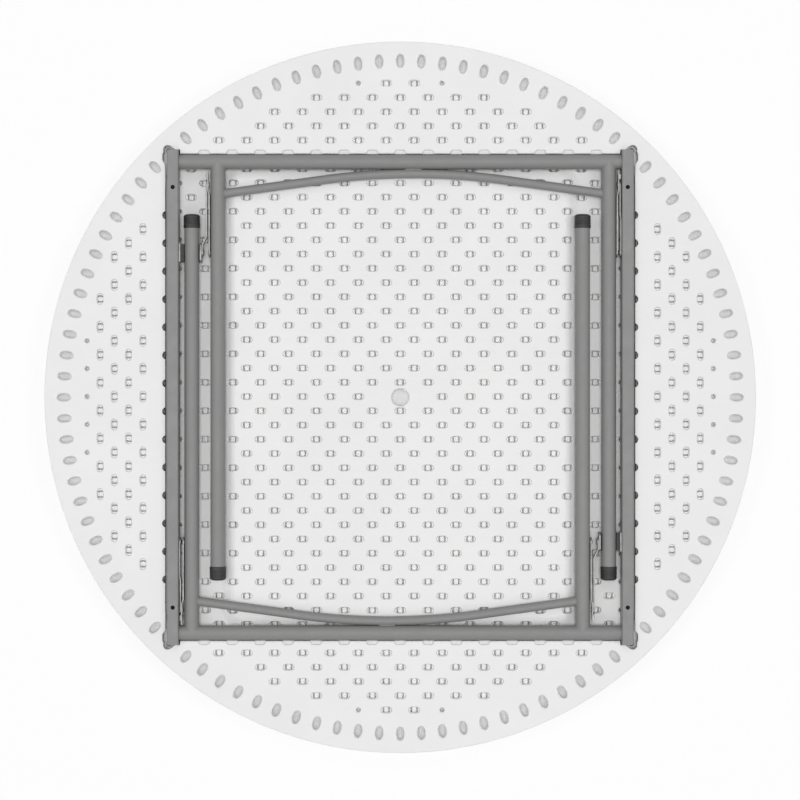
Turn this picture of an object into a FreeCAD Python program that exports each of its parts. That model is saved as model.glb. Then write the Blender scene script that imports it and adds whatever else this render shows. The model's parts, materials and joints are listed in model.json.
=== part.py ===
import FreeCAD, Part
import math
import os

# Round folding table with a moulded plastic top and two folding leg sets of steel tube.
# It lies on its top face, underside up, with both leg sets folded flat into the underside.
# Frame: the origin is the centre of the top face, Z points from the top face to the underside,
# Y points from the front leg set's hinge to the rear one's, and X points right.
# All lengths are in millimetres and all angles in degrees.

# Moulded top
TOP_DIAMETER = 1220.0
TOP_THICKNESS = 45.0
SKIN = 2.3
RIM_ROUND = 8.0
VOID_SIDES = 36
RECESS_DEPTH = 22.0
RECESS_CORNER = 10.0
RECESS_SIDE_GAP = 1.2
RECESS_END_GAP = 1.3
LIP_END = 45.0
PANEL_RISE = 7.5
PANEL_CORNER = 20.0
PANEL_SIDE_GAP = 7.9
PANEL_END_GAP = 8.0
POCKET_COUNT = 100
POCKET_LENGTH = 27.0
POCKET_WIDTH = 17.5
POCKET_DEPTH = 20.0
POCKET_TO_RIM = 33.8
CENTRE_MARK_DIAMETER = 34.0
CENTRE_MARK_DEPTH = 22.0
DIMPLE_LENGTH = 20.8
DIMPLE_WIDTH = 12.2
DIMPLE_DEPTH = 1.7
DIMPLE_COLUMN = 48.0
DIMPLE_ROW = 49.0
DIMPLE_ROW_SHIFT = 1.3

# Leg sets
TUBE_DIAMETER = 25.4
TUBE_WALL = 1.2
LEG_SPACING = 670.0
LEG_REACH = 717.4
FOOT_END_GAP = 77.3
WELD_GAP = 0.05
STRETCHER_DIAMETER = 15.4
STRETCHER_WALL = 1.2
STRETCHER_END = 55.5
STRETCHER_SLOPE = 7.75
BOW_STEPS = 4
BORE_SIDES = 8
FOOT_WALL = 1.3
FOOT_LENGTH = 23.8
FOOT_SOLE = 4.0
FIT = 0.05

# Side rails
RAIL_HEIGHT = 34.0
RAIL_FACE = 19.3
RAIL_FLARE = 7.9
RAIL_SHEET = 1.5
RAIL_BEND = 2.5
RAIL_OVERHANG = 19.3
RAIL_TRIM_LIP = 3.0
RAIL_TRIM_START = 61.7
RAIL_TRIM_END = 32.7
PIVOT_END_PLAY = 2.0
RIDGE_INNER_GAP = 3.0
RIDGE_OUTER_GAP = 1.5
RIDGE_END = 19.7

# Knee braces: positions are measured along the folded leg from the pivot axis, and
# stand-offs outward from the leg's surface
BRACE_REACH = 156.0
OPEN_ANGLE = 97.0
PLATE = 2.0
PLATE_WIDTH = 16.0
PIN = 6.0
PIN_END = 0.8
LEG_PLATE_GAP = 0.4
ELBOW_PLATE = 2.9
PLATE_GAP = 0.3
TAIL_CLEARANCE = 1.3
TAIL_CUT = 14.0
LEG_JOGGLE_START = 50.0
LEG_JOGGLE_END = 57.5
OUTER_JOGGLE_START = 90.0
OUTER_JOGGLE_END = 98.0
INNER_JOGGLE_START = 128.0
INNER_JOGGLE_END = 144.0
TAB_LENGTH = 9.0
TAB_THICKNESS = 2.0
TAB_GAP = 0.15
BRACE_ROOM = 8.8

# Anchor brackets and leg clips
BRACKET_SHEET = 2.5
BRACKET_LENGTH = 32.4
EAR_ROOM = 15.0
EAR_RISE = 10.5
EAR_CORNER = 6.0
FLANGE_HEIGHT = 26.0
CLIP_LENGTH = 30.0
CLIP_GAP = 0.3
CLIP_FLOOR = 1.0
EAR_TO_LEG = 1.8
CLIP_OUTER_RISE = 7.0
CLIP_INNER_DROP = 6.0

# Sizes worked out from those above
TUBE_R = TUBE_DIAMETER / 2
PIVOT_Y = (LEG_REACH + FOOT_END_GAP + TUBE_R) / 2
RECESS_Z = TOP_THICKNESS - RECESS_DEPTH
PANEL_Z = RECESS_Z + PANEL_RISE
PIVOT_Z = RECESS_Z + BRACKET_SHEET + CLIP_FLOOR + CLIP_GAP + TUBE_R
SET_OFFSET = (TUBE_DIAMETER + EAR_ROOM + BRACKET_SHEET + EAR_TO_LEG) / 2
OUTER_LEG_X = LEG_SPACING / 2 + SET_OFFSET
INNER_LEG_X = LEG_SPACING / 2 - SET_OFFSET
RAIL_X = OUTER_LEG_X + TUBE_R + BRACE_ROOM
RAIL_FOOT_X = RAIL_X + RAIL_FACE + RAIL_FLARE
RAIL_END_Y = PIVOT_Y + RAIL_OVERHANG
RAIL_TOP_Z = RECESS_Z + RAIL_HEIGHT
RAIL_UNDER_Z = RAIL_TOP_Z - RAIL_SHEET
RECESS_X = RAIL_FOOT_X + RECESS_SIDE_GAP
RECESS_Y = RAIL_END_Y + RECESS_END_GAP
RAIL_SLOPE = RAIL_FLARE / RAIL_HEIGHT
LIP_Y = PIVOT_Y - LIP_END
PANEL_X = INNER_LEG_X - TUBE_R - PANEL_SIDE_GAP
PANEL_Y = PIVOT_Y - TUBE_R - PANEL_END_GAP
RIDGE_X = RAIL_X + RAIL_SHEET + RIDGE_INNER_GAP
RIDGE_Y = PIVOT_Y - RIDGE_END
POCKET_RING = TOP_DIAMETER / 2 - POCKET_TO_RIM
PIVOT_END_X = RAIL_X + RAIL_SHEET + PIVOT_END_PLAY
EAR_X = INNER_LEG_X + TUBE_R + EAR_ROOM
BRACKET_Y = PIVOT_Y - BRACE_REACH
LINK_LENGTH = BRACE_REACH * math.sin(math.radians(OPEN_ANGLE / 2))
ELBOW_REACH = BRACE_REACH - LINK_LENGTH
PLATE_R = PLATE_WIDTH / 2
TAIL_END = TUBE_R + TAIL_CLEARANCE
ANCHOR_PLATE = ELBOW_PLATE + PLATE + PLATE_GAP
OUTER_ANCHOR_PLATE = BRACE_ROOM - PLATE_GAP - PLATE
INNER_ANCHOR_PLATE = EAR_ROOM - PLATE_GAP - PLATE


def box(x0, x1, y0, y1, z0, z1):
    low = FreeCAD.Vector(min(x0, x1), min(y0, y1), min(z0, z1))
    return Part.makeBox(abs(x1 - x0), abs(y1 - y0), abs(z1 - z0), low)


def rod_x(radius, x0, x1, y, z):
    start = FreeCAD.Vector(min(x0, x1), y, z)
    return Part.makeCylinder(radius, abs(x1 - x0), start, FreeCAD.Vector(1, 0, 0))


def rod_y(radius, y0, y1, x, z):
    start = FreeCAD.Vector(x, min(y0, y1), z)
    return Part.makeCylinder(radius, abs(y1 - y0), start, FreeCAD.Vector(0, 1, 0))


def rod_z(radius, z0, z1, x, y):
    start = FreeCAD.Vector(x, y, min(z0, z1))
    return Part.makeCylinder(radius, abs(z1 - z0), start, FreeCAD.Vector(0, 0, 1))


def prism(points, direction):
    """A solid from a closed outline of points, pushed along a vector."""
    return Part.Face(Part.makePolygon(points + points[:1])).extrude(direction)


def box_about_centre(half_x, half_y, z0, z1):
    return box(-half_x, half_x, -half_y, half_y, z0, z1)


def rounded_block(half_x, half_y, z0, z1, corner):
    """An upright block centred on the Z axis with rounded vertical edges."""
    block = box_about_centre(half_x, half_y, z0, z1)
    upright = [e for e in block.Edges if abs(e.tangentAt(e.FirstParameter).z) > 0.5]
    return block.makeFillet(corner, upright)


def half_turn(shape):
    """The same piece of the other leg set or rail: turned 180 degrees about the Z axis."""
    turned = shape.copy()
    turned.rotate(FreeCAD.Vector(0, 0, 0), FreeCAD.Vector(0, 0, 1), 180)
    return turned


def save(name, *solids):
    shape = solids[0] if len(solids) == 1 else Part.makeCompound(list(solids))
    shape.exportStep(os.path.join("parts", name + ".step"))


# Moulded top


def top_blank():
    """The disc, whose edge turns into the top face in two steps."""
    radius = TOP_DIAMETER / 2
    turn = RIM_ROUND * (1 - math.sqrt(0.5))
    profile = [
        (0, 0),
        (radius - RIM_ROUND, 0),
        (radius - turn, turn),
        (radius, RIM_ROUND),
        (radius, TOP_THICKNESS),
        (0, TOP_THICKNESS),
    ]
    points = [FreeCAD.Vector(x, 0, z) for x, z in profile]
    half = Part.Face(Part.makePolygon(points + points[:1]))
    return half.revolve(FreeCAD.Vector(0, 0, 0), FreeCAD.Vector(0, 0, 1), 360)


def void_disc(radius, z0, z1):
    """A many-sided disc for the hollow inside the moulding."""
    turns = [2 * math.pi * i / VOID_SIDES for i in range(VOID_SIDES)]
    corners = [FreeCAD.Vector(radius * math.cos(t), radius * math.sin(t), z0) for t in turns]
    return prism(corners, FreeCAD.Vector(0, 0, z1 - z0))


def rail_ridge_outline(inset, z_low, z_high):
    """The moulded ridge that fills the left rail, inset all round by a wall thickness."""
    wall = RAIL_SHEET * math.sqrt(1 + RAIL_SLOPE**2) + RIDGE_OUTER_GAP + inset
    face_edge = RAIL_X + RAIL_FACE - wall
    outer_low = face_edge + RAIL_SLOPE * (RAIL_TOP_Z - z_low)
    outer_high = face_edge + RAIL_SLOPE * (RAIL_TOP_Z - z_high)
    half_length = RIDGE_Y - inset
    corners = [
        FreeCAD.Vector(-(RIDGE_X + inset), -half_length, z_low),
        FreeCAD.Vector(-outer_low, -half_length, z_low),
        FreeCAD.Vector(-outer_high, -half_length, z_high),
        FreeCAD.Vector(-(RIDGE_X + inset), -half_length, z_high),
    ]
    return prism(corners, FreeCAD.Vector(0, 2 * half_length, 0))


def rail_lip():
    """The lip that leans in over the left rail's sloped wall, along all but the rail's ends."""
    lean = RAIL_SLOPE * (TOP_THICKNESS - RECESS_Z)
    section = [
        FreeCAD.Vector(-(RECESS_X + 1), -LIP_Y, RECESS_Z),
        FreeCAD.Vector(-RECESS_X, -LIP_Y, RECESS_Z),
        FreeCAD.Vector(-(RECESS_X - lean), -LIP_Y, TOP_THICKNESS),
        FreeCAD.Vector(-(RECESS_X + 1), -LIP_Y, TOP_THICKNESS),
    ]
    return prism(section, FreeCAD.Vector(0, 2 * LIP_Y, 0))


def rim_pocket(turn):
    """One pocket of the rim ring, its long sides along a radius."""
    near = POCKET_RING - POCKET_LENGTH / 2
    far = POCKET_RING + POCKET_LENGTH / 2
    half_width = POCKET_WIDTH / 2
    floor_z = TOP_THICKNESS - POCKET_DEPTH
    pocket = box(near, far, -half_width, half_width, floor_z, TOP_THICKNESS + 1)
    pocket.rotate(FreeCAD.Vector(0, 0, 0), FreeCAD.Vector(0, 0, 1), turn)
    return pocket


def dimple():
    """One tack-off dimple at the origin: an oblong pit whose four sides slope to its middle."""
    half_length = DIMPLE_LENGTH / 2
    half_width = DIMPLE_WIDTH / 2
    floor_z = PANEL_Z - DIMPLE_DEPTH
    side_view = [
        FreeCAD.Vector(-half_length, -half_width, PANEL_Z),
        FreeCAD.Vector(0, -half_width, floor_z),
        FreeCAD.Vector(half_length, -half_width, PANEL_Z),
    ]
    end_view = [
        FreeCAD.Vector(-half_length, -half_width, PANEL_Z),
        FreeCAD.Vector(-half_length, 0, floor_z),
        FreeCAD.Vector(-half_length, half_width, PANEL_Z),
    ]
    across = prism(side_view, FreeCAD.Vector(0, DIMPLE_WIDTH, 0))
    return across.common(prism(end_view, FreeCAD.Vector(DIMPLE_LENGTH, 0, 0)))


def panel_dimples():
    """Every other row of the panel's dimples, with none where the centre mark is."""
    columns = int((PANEL_X - DIMPLE_LENGTH / 2) / DIMPLE_COLUMN + 0.5)
    rows = int((PANEL_Y - DIMPLE_WIDTH / 2 - DIMPLE_ROW_SHIFT) / DIMPLE_ROW)
    pit = dimple()
    pits = []
    for row in range(-rows, rows + 1):
        y = row * DIMPLE_ROW + DIMPLE_ROW_SHIFT
        for column in range(-columns, columns):
            x = (column + 0.5) * DIMPLE_COLUMN
            if math.hypot(x, y) > CENTRE_MARK_DIAMETER:
                pits.append(pit.translated(FreeCAD.Vector(x, y, 0)))
    return pits


def centre_mark(wall):
    """The round tack-off at the middle of the panel, grown all round by a wall thickness."""
    floor_z = PANEL_Z - CENTRE_MARK_DEPTH - wall
    return rod_z(CENTRE_MARK_DIAMETER / 2 + wall, floor_z, PANEL_Z + 1, 0, 0)


def moulding_void():
    """The hollow inside the moulding. It runs under the ring of pockets and round outside it."""
    ring_inner = POCKET_RING - POCKET_LENGTH / 2 - SKIN
    ring_outer = (POCKET_RING + POCKET_LENGTH / 2 + SKIN) / math.cos(math.pi / VOID_SIDES)
    groove_outer = TOP_DIAMETER / 2 - SKIN
    low = void_disc(ring_inner, SKIN, RECESS_Z - SKIN)
    under_ring = void_disc(groove_outer, 2 * SKIN, RECESS_Z - SKIN)
    groove = void_disc(groove_outer, 2 * SKIN, TOP_THICKNESS - SKIN)
    groove = groove.cut(void_disc(ring_outer, 0, TOP_THICKNESS))
    high = void_disc(ring_inner, RECESS_Z - 2 * SKIN, TOP_THICKNESS - SKIN)
    high = high.cut(box_about_centre(RECESS_X + SKIN, RECESS_Y + SKIN, 0, TOP_THICKNESS))
    wall = 2 * SKIN
    panel = rounded_block(
        PANEL_X - wall, PANEL_Y - wall, RECESS_Z - wall, PANEL_Z - SKIN, PANEL_CORNER - wall
    )
    ridge = rail_ridge_outline(SKIN, RECESS_Z - 2 * SKIN, RAIL_UNDER_Z - SKIN)
    void = low.fuse([under_ring, groove, high, panel, ridge, half_turn(ridge)])
    return void.cut(centre_mark(SKIN))


def tabletop():
    """The blow-moulded top: disc, recess for the frame, raised panel, rail ridges and rim pockets."""
    body = top_blank()
    recess = rounded_block(RECESS_X, RECESS_Y, RECESS_Z, TOP_THICKNESS + 1, RECESS_CORNER)
    panel = rounded_block(PANEL_X, PANEL_Y, RECESS_Z - SKIN, PANEL_Z, PANEL_CORNER)
    ridge = rail_ridge_outline(0, RECESS_Z - SKIN, RAIL_UNDER_Z)
    lip = rail_lip()
    body = body.cut(recess).fuse([panel, ridge, half_turn(ridge), lip, half_turn(lip)])
    cuts = [rim_pocket(i * 360 / POCKET_COUNT) for i in range(POCKET_COUNT)]
    cuts += panel_dimples()
    return body.cut(cuts + [centre_mark(0), moulding_void()]).removeSplitter()


# Side rails


def rail_section(y0, y1):
    """The left rail's bent sheet: upright inner wall, flat face and an outer wall that slopes out."""
    wall = RAIL_SHEET * math.sqrt(1 + RAIL_SLOPE**2)
    face_x = RAIL_X + RAIL_FACE
    foot_x = RAIL_FOOT_X
    under_x = face_x - wall + RAIL_SLOPE * RAIL_SHEET
    outer = [
        FreeCAD.Vector(-RAIL_X, y0, RECESS_Z),
        FreeCAD.Vector(-RAIL_X, y0, RAIL_TOP_Z),
        FreeCAD.Vector(-face_x, y0, RAIL_TOP_Z),
        FreeCAD.Vector(-foot_x, y0, RECESS_Z),
    ]
    inner = [
        FreeCAD.Vector(-(RAIL_X + RAIL_SHEET), y0, RECESS_Z),
        FreeCAD.Vector(-(RAIL_X + RAIL_SHEET), y0, RAIL_UNDER_Z),
        FreeCAD.Vector(-under_x, y0, RAIL_UNDER_Z),
        FreeCAD.Vector(-(foot_x - wall), y0, RECESS_Z),
    ]
    along = FreeCAD.Vector(0, y1 - y0, 0)
    solid = rounded_top(prism(outer, along), RAIL_BEND)
    hollow = rounded_top(prism(inner, along), RAIL_BEND - RAIL_SHEET)
    return solid.cut(hollow)


def rounded_top(solid, radius):
    """Rounds the two long edges at the top of a rail-shaped solid."""
    top = solid.BoundBox.ZMax
    lengthwise = [
        e
        for e in solid.Edges
        if abs(e.tangentAt(e.FirstParameter).y) > 0.9 and e.BoundBox.ZMin > top - 0.01
    ]
    return solid.makeFillet(radius, lengthwise)


def left_rail():
    """The left rail: ends trimmed open, holes for the pivot tubes, and the outer brace's pin."""
    rail = rail_section(-RAIL_END_Y, RAIL_END_Y)
    trim_z = RAIL_TOP_Z - RAIL_TRIM_LIP
    trim_x = RAIL_X + RAIL_FACE / 2
    cuts = []
    for side in (-1, 1):
        outline = [
            FreeCAD.Vector(-trim_x, side * (PIVOT_Y - RAIL_TRIM_START), RECESS_Z - 1),
            FreeCAD.Vector(-trim_x, side * (PIVOT_Y - RAIL_TRIM_END), trim_z),
            FreeCAD.Vector(-trim_x, side * (RAIL_END_Y + 1), trim_z),
            FreeCAD.Vector(-trim_x, side * (RAIL_END_Y + 1), RECESS_Z - 1),
        ]
        cuts.append(prism(outline, FreeCAD.Vector(-2 * RAIL_FACE, 0, 0)))
        wall_x = -(RAIL_X + RAIL_SHEET)
        cuts.append(rod_x(TUBE_R + FIT, wall_x - 1, 1 - RAIL_X, side * PIVOT_Y, PIVOT_Z))
    pin = brace_rod(OUTER_LEG_X, 1, OUTER_ANCHOR_PLATE - PIN_END, BRACE_ROOM, PIN)
    return rail.cut(cuts).fuse(half_turn(pin))


# Leg sets


def pivot_tube():
    outer = rod_x(TUBE_R, -PIVOT_END_X, PIVOT_END_X, PIVOT_Y, PIVOT_Z)
    bore = rod_x(TUBE_R - TUBE_WALL, -PIVOT_END_X - 1, PIVOT_END_X + 1, PIVOT_Y, PIVOT_Z)
    return outer.cut(bore)


def bore_outline(radius, centre, along):
    """The outline of a tube's bore where nothing shows it: many-sided, with the area of the round
    one. The tube's direction, along, is level."""
    turn = 2 * math.pi / BORE_SIDES
    reach = radius * math.sqrt(turn / math.sin(turn))
    across = FreeCAD.Vector(-along.y, along.x, 0).normalize() * reach
    up = FreeCAD.Vector(0, 0, reach)
    turns = [turn * (i + 0.5) for i in range(BORE_SIDES)]
    corners = [centre + across * math.cos(t) + up * math.sin(t) for t in turns]
    return Part.makePolygon(corners + corners[:1])


def leg_tube(x, side):
    """A leg coped round the pivot tube, with the knee brace's pin on its outward side."""
    foot_y = PIVOT_Y - LEG_REACH + FOOT_SOLE
    bore_end_y = PIVOT_Y - TUBE_DIAMETER
    tube = rod_y(TUBE_R, foot_y, PIVOT_Y, x, PIVOT_Z)
    bore_length = FreeCAD.Vector(0, bore_end_y - foot_y, 0)
    mouth = bore_outline(TUBE_R - TUBE_WALL, FreeCAD.Vector(x, foot_y, PIVOT_Z), bore_length)
    bore = Part.Face(mouth).extrude(bore_length)
    cope = rod_x(TUBE_R + WELD_GAP, x - TUBE_DIAMETER, x + TUBE_DIAMETER, PIVOT_Y, PIVOT_Z)
    pin = brace_rod(x, side, -TUBE_WALL / 2, LEG_PLATE_GAP + PLATE + PIN_END, PIN)
    return tube.fuse(pin).cut([bore, cope])


def foot_cap(x):
    """The cap over a leg's end: a socket with a thick sole."""
    sole_y = PIVOT_Y - LEG_REACH
    mouth_y = sole_y + FOOT_LENGTH
    outer = rod_y(TUBE_R + FIT + FOOT_WALL, sole_y, mouth_y, x, PIVOT_Z)
    return outer.cut(rod_y(TUBE_R + FIT, sole_y + FOOT_SOLE, mouth_y + 1, x, PIVOT_Z))


def path_point(across, from_pivot):
    return FreeCAD.Vector(SET_OFFSET + across, PIVOT_Y - from_pivot, PIVOT_Z)


def stretcher_line():
    """Points along the stretcher's middle: straight at both ends, and between them an arc, taken
    in straight lengths, that comes up to the pivot tube at its middle."""
    half_span = LEG_SPACING / 2
    apex = TUBE_R + STRETCHER_DIAMETER / 2 + WELD_GAP
    slope = math.radians(STRETCHER_SLOPE)
    radius = (half_span * math.tan(slope) - STRETCHER_END + apex) / (
        math.sin(slope) * math.tan(slope) - 1 + math.cos(slope)
    )
    turns = [slope * (2 * i / BOW_STEPS - 1) for i in range(BOW_STEPS + 1)]
    bow = [path_point(radius * math.sin(t), apex + radius * (1 - math.cos(t))) for t in turns]
    return [path_point(-half_span, STRETCHER_END)] + bow + [path_point(half_span, STRETCHER_END)]


def swept(line, outline):
    """An outline pushed along a line of straight lengths, with mitred corners."""
    path = Part.Wire([Part.LineSegment(a, b).toShape() for a, b in zip(line, line[1:])])
    mitred = 1
    return path.makePipeShell([outline], True, False, mitred)


def stretcher():
    """The thin bowed tube that ties the two legs together, coped to both."""
    line = stretcher_line()
    along = line[1] - line[0]
    ring = Part.Wire(Part.makeCircle(STRETCHER_DIAMETER / 2, line[0], along))
    bore = swept(line, bore_outline(STRETCHER_DIAMETER / 2 - STRETCHER_WALL, line[0], along))
    return swept(line, ring).cut([bore, leg_envelope(-INNER_LEG_X), leg_envelope(OUTER_LEG_X)])


def leg_envelope(x):
    low_y = PIVOT_Y - STRETCHER_END - TUBE_DIAMETER
    return rod_y(TUBE_R + WELD_GAP, low_y, PIVOT_Y, x, PIVOT_Z)


# Knee braces


def brace_x(leg_x, side, stand_off):
    """The X of a plane that stands off a leg's surface by stand_off."""
    return leg_x + side * (TUBE_R + stand_off)


def brace_rod(leg_x, side, near, far, diameter):
    """A rod on the brace's folded end hinges between two stand-offs."""
    x0 = brace_x(leg_x, side, near)
    x1 = brace_x(leg_x, side, far)
    return rod_x(diameter / 2, x0, x1, BRACKET_Y, PIVOT_Z)


def joggled_plate(leg_x, side, bends, start, rounds):
    """A flat bar bent to follow (reach, stand-off) points. It runs from the reach start to the
    last of rounds, the reaches where it has a round end."""
    z_low = PIVOT_Z - PLATE_R
    near = [
        FreeCAD.Vector(brace_x(leg_x, side, off), PIVOT_Y - reach, z_low) for reach, off in bends
    ]
    far = [
        FreeCAD.Vector(brace_x(leg_x, side, off + PLATE), PIVOT_Y - reach, z_low)
        for reach, off in reversed(bends)
    ]
    bar = prism(near + far, FreeCAD.Vector(0, 0, PLATE_WIDTH))
    x0 = brace_x(leg_x, side, -1)
    x1 = brace_x(leg_x, side, EAR_ROOM + 1)
    outline = box(x0, x1, PIVOT_Y - start, PIVOT_Y - rounds[-1], z_low, z_low + PLATE_WIDTH)
    ends = [rod_x(PLATE_R, x0, x1, PIVOT_Y - reach, PIVOT_Z) for reach in rounds]
    return bar.common(outline.fuse(ends))


def tail_cut(leg_x, side):
    """What comes off the lower corner of the tail, so that it clears the top as it swings."""
    x = brace_x(leg_x, side, -1)
    z_low = PIVOT_Z - PLATE_R - 1
    reach = TAIL_END - 1
    size = TAIL_CUT + 2
    corner = [
        FreeCAD.Vector(x, PIVOT_Y - reach, z_low),
        FreeCAD.Vector(x, PIVOT_Y - reach - size, z_low),
        FreeCAD.Vector(x, PIVOT_Y - reach, z_low + size),
    ]
    return prism(corner, FreeCAD.Vector(side * EAR_ROOM, 0, 0))


def pin_hole(leg_x, side):
    """The running hole for the pin at a brace link's far end from the elbow."""
    return brace_rod(leg_x, side, -1, EAR_ROOM, PIN + 2 * FIT)


def leg_link(leg_x, side):
    """The brace's leg half: hugs the leg, steps out to clear it at the elbow, and ends in a tail
    whose bent tab stops the anchor half when the brace is straight."""
    bends = [
        (0, ELBOW_PLATE),
        (LEG_JOGGLE_START, ELBOW_PLATE),
        (LEG_JOGGLE_END, LEG_PLATE_GAP),
        (BRACE_REACH + PLATE_WIDTH, LEG_PLATE_GAP),
    ]
    plate = joggled_plate(leg_x, side, bends, TAIL_END, [BRACE_REACH])
    plate = plate.cut(tail_cut(leg_x, side))
    tab_far = ELBOW_REACH - PLATE_R - 2 * PLATE_GAP
    tab_y = [PIVOT_Y - tab_far, PIVOT_Y - tab_far + TAB_LENGTH]
    edge_z = PIVOT_Z + PLATE_R
    root_x = [brace_x(leg_x, side, ELBOW_PLATE), brace_x(leg_x, side, ELBOW_PLATE + PLATE)]
    tip_x = brace_x(leg_x, side, ANCHOR_PLATE + PLATE)
    tab_low = edge_z + TAB_GAP
    tab_high = tab_low + TAB_THICKNESS
    root = box(*root_x, *tab_y, edge_z - PLATE_R, tab_high)
    tab = box(root_x[1], tip_x, *tab_y, tab_low, tab_high)
    return plate.fuse([root, tab]).cut(pin_hole(leg_x, side)).removeSplitter()


def anchor_link(leg_x, side, anchor_off, joggle_start, joggle_end):
    """The brace's anchor half: from the elbow to the rail's wall or the bracket's ear."""
    bends = [
        (0, ANCHOR_PLATE),
        (joggle_start, ANCHOR_PLATE),
        (joggle_end, anchor_off),
        (BRACE_REACH + PLATE_WIDTH, anchor_off),
    ]
    plate = joggled_plate(leg_x, side, bends, ELBOW_REACH, [ELBOW_REACH, BRACE_REACH])
    return plate.cut(pin_hole(leg_x, side))


# Anchor brackets and leg clips, made on the left rail


def left_bracket():
    """A bent steel strip: up the rail's wall, under the outer leg, and up again as the ear that
    carries the inner brace's pin."""
    y0 = BRACKET_Y - BRACKET_LENGTH / 2
    y1 = BRACKET_Y + BRACKET_LENGTH / 2
    top = PIVOT_Z + EAR_RISE
    flange = box(-(RAIL_X - BRACKET_SHEET), -RAIL_X, y0, y1, RECESS_Z, RECESS_Z + FLANGE_HEIGHT)
    base = box(-EAR_X, -RAIL_X, y0, y1, RECESS_Z, RECESS_Z + BRACKET_SHEET)
    ear = box(-EAR_X, -(EAR_X + BRACKET_SHEET), y0, y1, RECESS_Z, top)
    corners = [
        e
        for e in ear.Edges
        if abs(e.tangentAt(e.FirstParameter).x) > 0.9 and e.BoundBox.ZMin > top - 0.01
    ]
    ear = ear.makeFillet(EAR_CORNER, corners)
    pin = brace_rod(-INNER_LEG_X, -1, INNER_ANCHOR_PLATE - PIN_END, EAR_ROOM, PIN)
    return flange.fuse([base, ear, pin]).removeSplitter()


def left_clip():
    """The plastic cradle in the bracket that the folded outer leg lies in."""
    y0 = BRACKET_Y - CLIP_LENGTH / 2
    y1 = BRACKET_Y + CLIP_LENGTH / 2
    floor = RECESS_Z + BRACKET_SHEET
    slot_r = TUBE_R + CLIP_GAP
    ear_face = EAR_X + BRACKET_SHEET
    flange_face = RAIL_X - BRACKET_SHEET
    tall = box(-OUTER_LEG_X, -flange_face, y0, y1, floor, PIVOT_Z + CLIP_OUTER_RISE)
    low = box(-ear_face, -OUTER_LEG_X, y0, y1, floor, PIVOT_Z - CLIP_INNER_DROP)
    slot = rod_y(slot_r, y0 - 1, y1 + 1, -OUTER_LEG_X, PIVOT_Z)
    slot_x = [-(OUTER_LEG_X - slot_r), -(OUTER_LEG_X + slot_r)]
    mouth = box(*slot_x, y0 - 1, y1 + 1, PIVOT_Z, RAIL_TOP_Z)
    return tall.fuse(low).cut([slot, mouth])


# Build every sub-part and write it


def save_brace(place, leg_x, side, anchor_off, joggle, turn):
    """One knee brace's two links; turn places them on the rear or the front leg set."""
    save(place + "_leg_link", turn(leg_link(leg_x, side)))
    save(place + "_anchor_link", turn(anchor_link(leg_x, side, anchor_off, *joggle)))


def as_built(shape):
    return shape


def save_leg_set(name, left, right, turn):
    """One leg set. left and right give the (X, outward side) of the legs before turn."""
    save(name + "_pivot_tube", turn(pivot_tube()))
    save(name + "_left_leg", turn(leg_tube(*left)))
    save(name + "_right_leg", turn(leg_tube(*right)))
    save(name + "_stretcher", turn(stretcher()))
    save(name + "_feet", turn(foot_cap(left[0])), turn(foot_cap(right[0])))


def build():
    os.makedirs("parts", exist_ok=True)
    inner = (-INNER_LEG_X, -1)
    outer = (OUTER_LEG_X, 1)
    inner_brace = (INNER_ANCHOR_PLATE, (INNER_JOGGLE_START, INNER_JOGGLE_END))
    outer_brace = (OUTER_ANCHOR_PLATE, (OUTER_JOGGLE_START, OUTER_JOGGLE_END))
    save("tabletop", tabletop())
    save("left_rail", left_rail())
    save("right_rail", half_turn(left_rail()))
    save("left_bracket", left_bracket())
    save("right_bracket", half_turn(left_bracket()))
    save("left_leg_clip", left_clip())
    save("right_leg_clip", half_turn(left_clip()))
    save_leg_set("rear", inner, outer, as_built)
    save_leg_set("front", outer, inner, half_turn)
    save_brace("rear_left", *inner, *inner_brace, as_built)
    save_brace("rear_right", *outer, *outer_brace, as_built)
    save_brace("front_right", *inner, *inner_brace, half_turn)
    save_brace("front_left", *outer, *outer_brace, half_turn)


build()
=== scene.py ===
import json
import math

import bmesh
import bpy
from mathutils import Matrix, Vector
from mathutils.geometry import delaunay_2d_cdt


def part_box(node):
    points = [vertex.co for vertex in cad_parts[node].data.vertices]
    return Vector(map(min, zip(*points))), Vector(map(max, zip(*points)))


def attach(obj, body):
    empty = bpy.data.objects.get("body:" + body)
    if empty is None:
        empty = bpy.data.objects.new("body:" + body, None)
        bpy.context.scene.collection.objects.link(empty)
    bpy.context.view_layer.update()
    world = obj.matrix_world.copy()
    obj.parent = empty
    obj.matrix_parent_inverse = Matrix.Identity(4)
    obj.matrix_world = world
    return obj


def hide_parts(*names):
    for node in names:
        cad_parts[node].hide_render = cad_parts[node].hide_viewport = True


# The looks of a round folding table that lies on its top face, underside up, legs folded.
# Lengths are in millimetres until a mesh is made, and the angles named here are in degrees.

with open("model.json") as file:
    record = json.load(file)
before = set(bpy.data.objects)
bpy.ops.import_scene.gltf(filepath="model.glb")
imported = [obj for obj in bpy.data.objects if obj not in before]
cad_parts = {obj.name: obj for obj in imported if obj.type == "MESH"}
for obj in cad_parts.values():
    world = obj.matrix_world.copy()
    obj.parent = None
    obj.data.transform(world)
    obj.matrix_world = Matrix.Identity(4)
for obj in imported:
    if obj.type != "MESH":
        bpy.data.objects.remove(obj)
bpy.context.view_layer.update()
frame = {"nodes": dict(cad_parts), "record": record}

MM = 0.001

# Camera: straight down on the underside
CAMERA_RISE = 4000.0
VIEW_WIDTH = 1377.8
VIEW_LEVEL = 22.0
AIM_X = -0.4
AIM_Y = -4.6
SENSOR = 36.0
VIEW_DEPTH = 100000.0

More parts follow.
